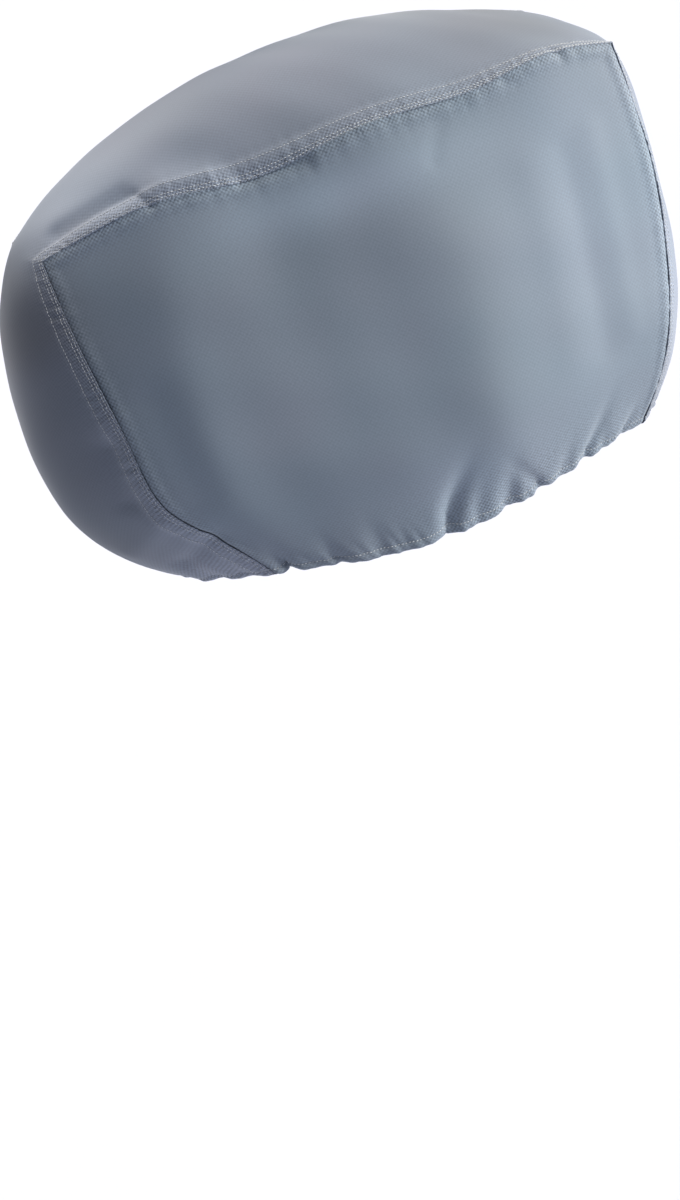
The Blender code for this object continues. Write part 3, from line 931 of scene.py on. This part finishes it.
def stitchMesh(name, rows, material):
    # Each stitch is a short rod: its radius is r * (1 - w^4)^0.5 and it arches up by
    # arch * (1 - drop * w^2), where w runs from -1 to 1 along it. One array of rods, rings and sides makes
    # the joined mesh.
    frames = np.concatenate(rows)
    middle, along, side, up = (frames[:, k, None, None] for k in range(4))
    w = np.linspace(-stitching["ends"], stitching["ends"], stitching["rings"])[None, :, None, None]
    angle = (np.arange(stitching["sides"]) * 2 * np.pi / stitching["sides"])[None, None, :, None]
    thick = stitching["radius"] * mm * np.sqrt(1 - w**4)
    raised = stitching["arch"] * mm * (1 - stitching["archDrop"] * w**2)
    points = middle + along * (w * stitching["length"] / 2 * mm) + up * raised
    points = points + thick * (np.cos(angle) * side + np.sin(angle) * up)
    count, rings, sides = points.shape[:3]
    index = np.arange(count * rings * sides).reshape(count, rings, sides)
    nextRound = np.roll(index, -1, axis=2)
    quads = np.stack([index[:, :-1], nextRound[:, :-1], nextRound[:, 1:], index[:, 1:]], axis=-1)
    quads = quads.reshape(-1, 4)
    caps = np.concatenate([index[:, 0, ::-1], index[:, -1]])
    mesh = bpy.data.meshes.new(name)
    mesh.from_pydata(points.reshape(-1, 3).tolist(), [], quads.tolist() + caps.tolist())
    onRod = np.stack(np.broadcast_arrays(w[0, :, :, 0], angle[0, :, :, 0] / (2 * np.pi)), axis=-1)
    coordinates = np.broadcast_to(onRod[None], (count, rings, sides, 2)).reshape(-1, 2)
    order = np.concatenate([quads.ravel(), caps.ravel()])
    layer = mesh.uv_layers.new(name="thread")
    layer.data.foreach_set("uv", coordinates[order].astype(np.float32).ravel())
    mesh.shade_smooth()
    mesh.materials.append(material)
    piece = bpy.data.objects.new(name, mesh)
    bpy.context.scene.collection.objects.link(piece)
    return piece


# Cloth pieces
bandPoints = centreBand()
sideSheets = {"starboard": sidePanel(False), "port": sidePanel(True)}
bandCloth = wovenCloth("band_cloth")
sideCloth = wovenCloth("side_cloth")
band = sheetMesh("centreBandCloth", foldEdge(bandPoints), bandCloth, True)
print("centre band:", len(band.data.polygons), "faces")
panels = {}
for sideName, (points, lines) in sideSheets.items():
    tucked = tuckUnder(points, lines, sideName == "port")
    title = "sidePanel" + sideName.capitalize() + "Cloth"
    panels[sideName] = sheetMesh(title, tucked, sideCloth, False)
    print("side panel,", sideName + ":", len(panels[sideName].data.polygons), "faces")

# Stitches: three rows along each seam, between the band's two turned hems, and one row round the hem
thread = sewingThread()
bandNormals = sheetNormals(bandPoints)
unturned = slice(hemTurnRows, -hemTurnRows)
stitches = {}
for sideName in ("starboard", "port"):
    rows = []
    for row, dip in enumerate(bandCut["stitchDips"]):
        column = bandCut["edgeColumns"].index(dip)
        column = column if sideName == "starboard" else -1 - column
        line, normals = bandPoints[unturned, column], bandNormals[unturned, column]
        rows.append(stitchRow(line, normals, stitching["seeds"][sideName] + row))
    stitches[sideName] = stitchMesh("seamStitches" + sideName.capitalize(), rows, thread)
hemRow = -1 - hemTurnRows - hemCut["steps"].index(hemCut["grooveAt"])
sheets = (sideSheets["starboard"][0], sideSheets["port"][0], bandPoints, bandPoints[::-1, ::-1])
hemRows = []
for row, points in enumerate(sheets):
    hemRows.append(stitchRow(points[hemRow], sheetNormals(points)[hemRow], stitching["seeds"]["hem"] + row))
stitches["hem"] = stitchMesh("hemStitches", hemRows, thread)
print("stitches:", sum(len(piece.data.polygons) for piece in stitches.values()), "faces")

# What each piece stands for
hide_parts("centre_band")
for sideName, panel in panels.items():
    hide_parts("side_panel_" + sideName)
for piece in (band, *panels.values(), *stitches.values()):
    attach(piece, "root")


studio = {
    "floorDrop": 1.3,  # how far under the cover the floor lies, and its size, in metres
    "floorSize": 60,
    "white": (0.546, 0.580, 0.690),
    "faintShare": 0.985,
    "cloudScale": 1.5,
    "roughness": 0.9,
    "world": 0.07,
    "sky": (0.7, 0.85, 1, 1),
    "lights": {        # azimuth, elevation, strength, how broad it looks in degrees, color
        "keyLight": (60, 50, 3.2, 26, (1.04, 0.985, 0.905)),
        "bowLight": (72, 3, 5.8, 14, (1.02, 1.0, 0.90)),
        "portLight": (-160, 50, 3.3, 30, (1.05, 0.985, 0.905)),
    },
    "lightDistance": 3,
}


def studioFloor():
    # A wide level square far below the cover, faintly cloudy and nearly white in this light.
    mesh = bpy.data.meshes.new("floor")
    half = studio["floorSize"] / 2
    height = cadBox[0].z - studio["floorDrop"]
    corners = [(-half, -half, height), (half, -half, height), (half, half, height), (-half, half, height)]
    mesh.from_pydata(corners, [], [(0, 1, 2, 3)])
    material = bpy.data.materials.new("floor_paint")
    material.use_nodes = True
    tree = material.node_tree
    shader = tree.nodes["Principled BSDF"]
    place = tree.nodes.new("ShaderNodeTexCoord").outputs["Object"]
    cloudy = noiseOver(tree, place, studio["cloudScale"])
    faint = tuple(studio["faintShare"] * value for value in studio["white"])
    tree.links.new(blendColors(tree, cloudy, faint, studio["white"]), shader.inputs["Base Color"])
    nodeInputs(shader, {"Roughness": studio["roughness"]})
    mesh.materials.append(material)
    floor = bpy.data.objects.new("floor", mesh)
    bpy.context.scene.collection.objects.link(floor)


def softSun(name, azimuth, elevation, strength, width, color):
    # A broad, distant light. Azimuth 0 is abeam to starboard and 90 is ahead.
    light = bpy.data.lights.new(name, "SUN")
    light.energy = strength
    light.angle = math.radians(width)
    light.color = color
    lamp = bpy.data.objects.new(name, light)
    a, e = math.radians(azimuth), math.radians(elevation)
    away = Vector((math.sin(a) * math.cos(e), -math.cos(a) * math.cos(e), math.sin(e)))
    lamp.rotation_euler = away.to_track_quat("Z", "Y").to_euler()
    lamp.location = coverMiddle + away * studio["lightDistance"]
    bpy.context.scene.collection.objects.link(lamp)


coverMiddle = Vector((0, 0, -0.26))
studioFloor()
for name, values in studio["lights"].items():
    softSun(name, *values)
world = bpy.data.worlds.new("studio")
bpy.context.scene.world = world
world.use_nodes = True
nodeInputs(world.node_tree.nodes["Background"], {"Color": studio["sky"], "Strength": studio["world"]})
bpy.context.scene.view_settings.view_transform = "Standard"

lookout = {
    "azimuth": -14,
    "elevation": 17,
    "distance": 3.3,
    "roll": 16,  # the cover slopes up to the bow by the roll of the camera
    "tiltDown": 5.194,
    "lens": 99,
    "farthest": 100,
}


def camera():
    # Looks at the cover's middle from abeam and a little aft, rolls, and then tilts down so that the cover
    # stands in the upper half of the picture.
    a, e = math.radians(lookout["azimuth"]), math.radians(lookout["elevation"])
    back = Vector((math.sin(a) * math.cos(e), -math.cos(a) * math.cos(e), math.sin(e)))
    turned = (-back).to_track_quat("-Z", "Y")
    turned = turned @ Euler((0, 0, -math.radians(lookout["roll"]))).to_quaternion()
    turned = turned @ Euler((-math.radians(lookout["tiltDown"]), 0, 0)).to_quaternion()
    data = bpy.data.cameras.new("camera")
    data.lens = lookout["lens"]
    data.clip_end = lookout["farthest"]
    holder = bpy.data.objects.new("camera", data)
    holder.location = coverMiddle + back * lookout["distance"]
    holder.rotation_mode = "QUATERNION"
    holder.rotation_quaternion = turned
    bpy.context.scene.collection.objects.link(holder)
    bpy.context.scene.camera = holder


camera()
print("floor, lights and camera placed")
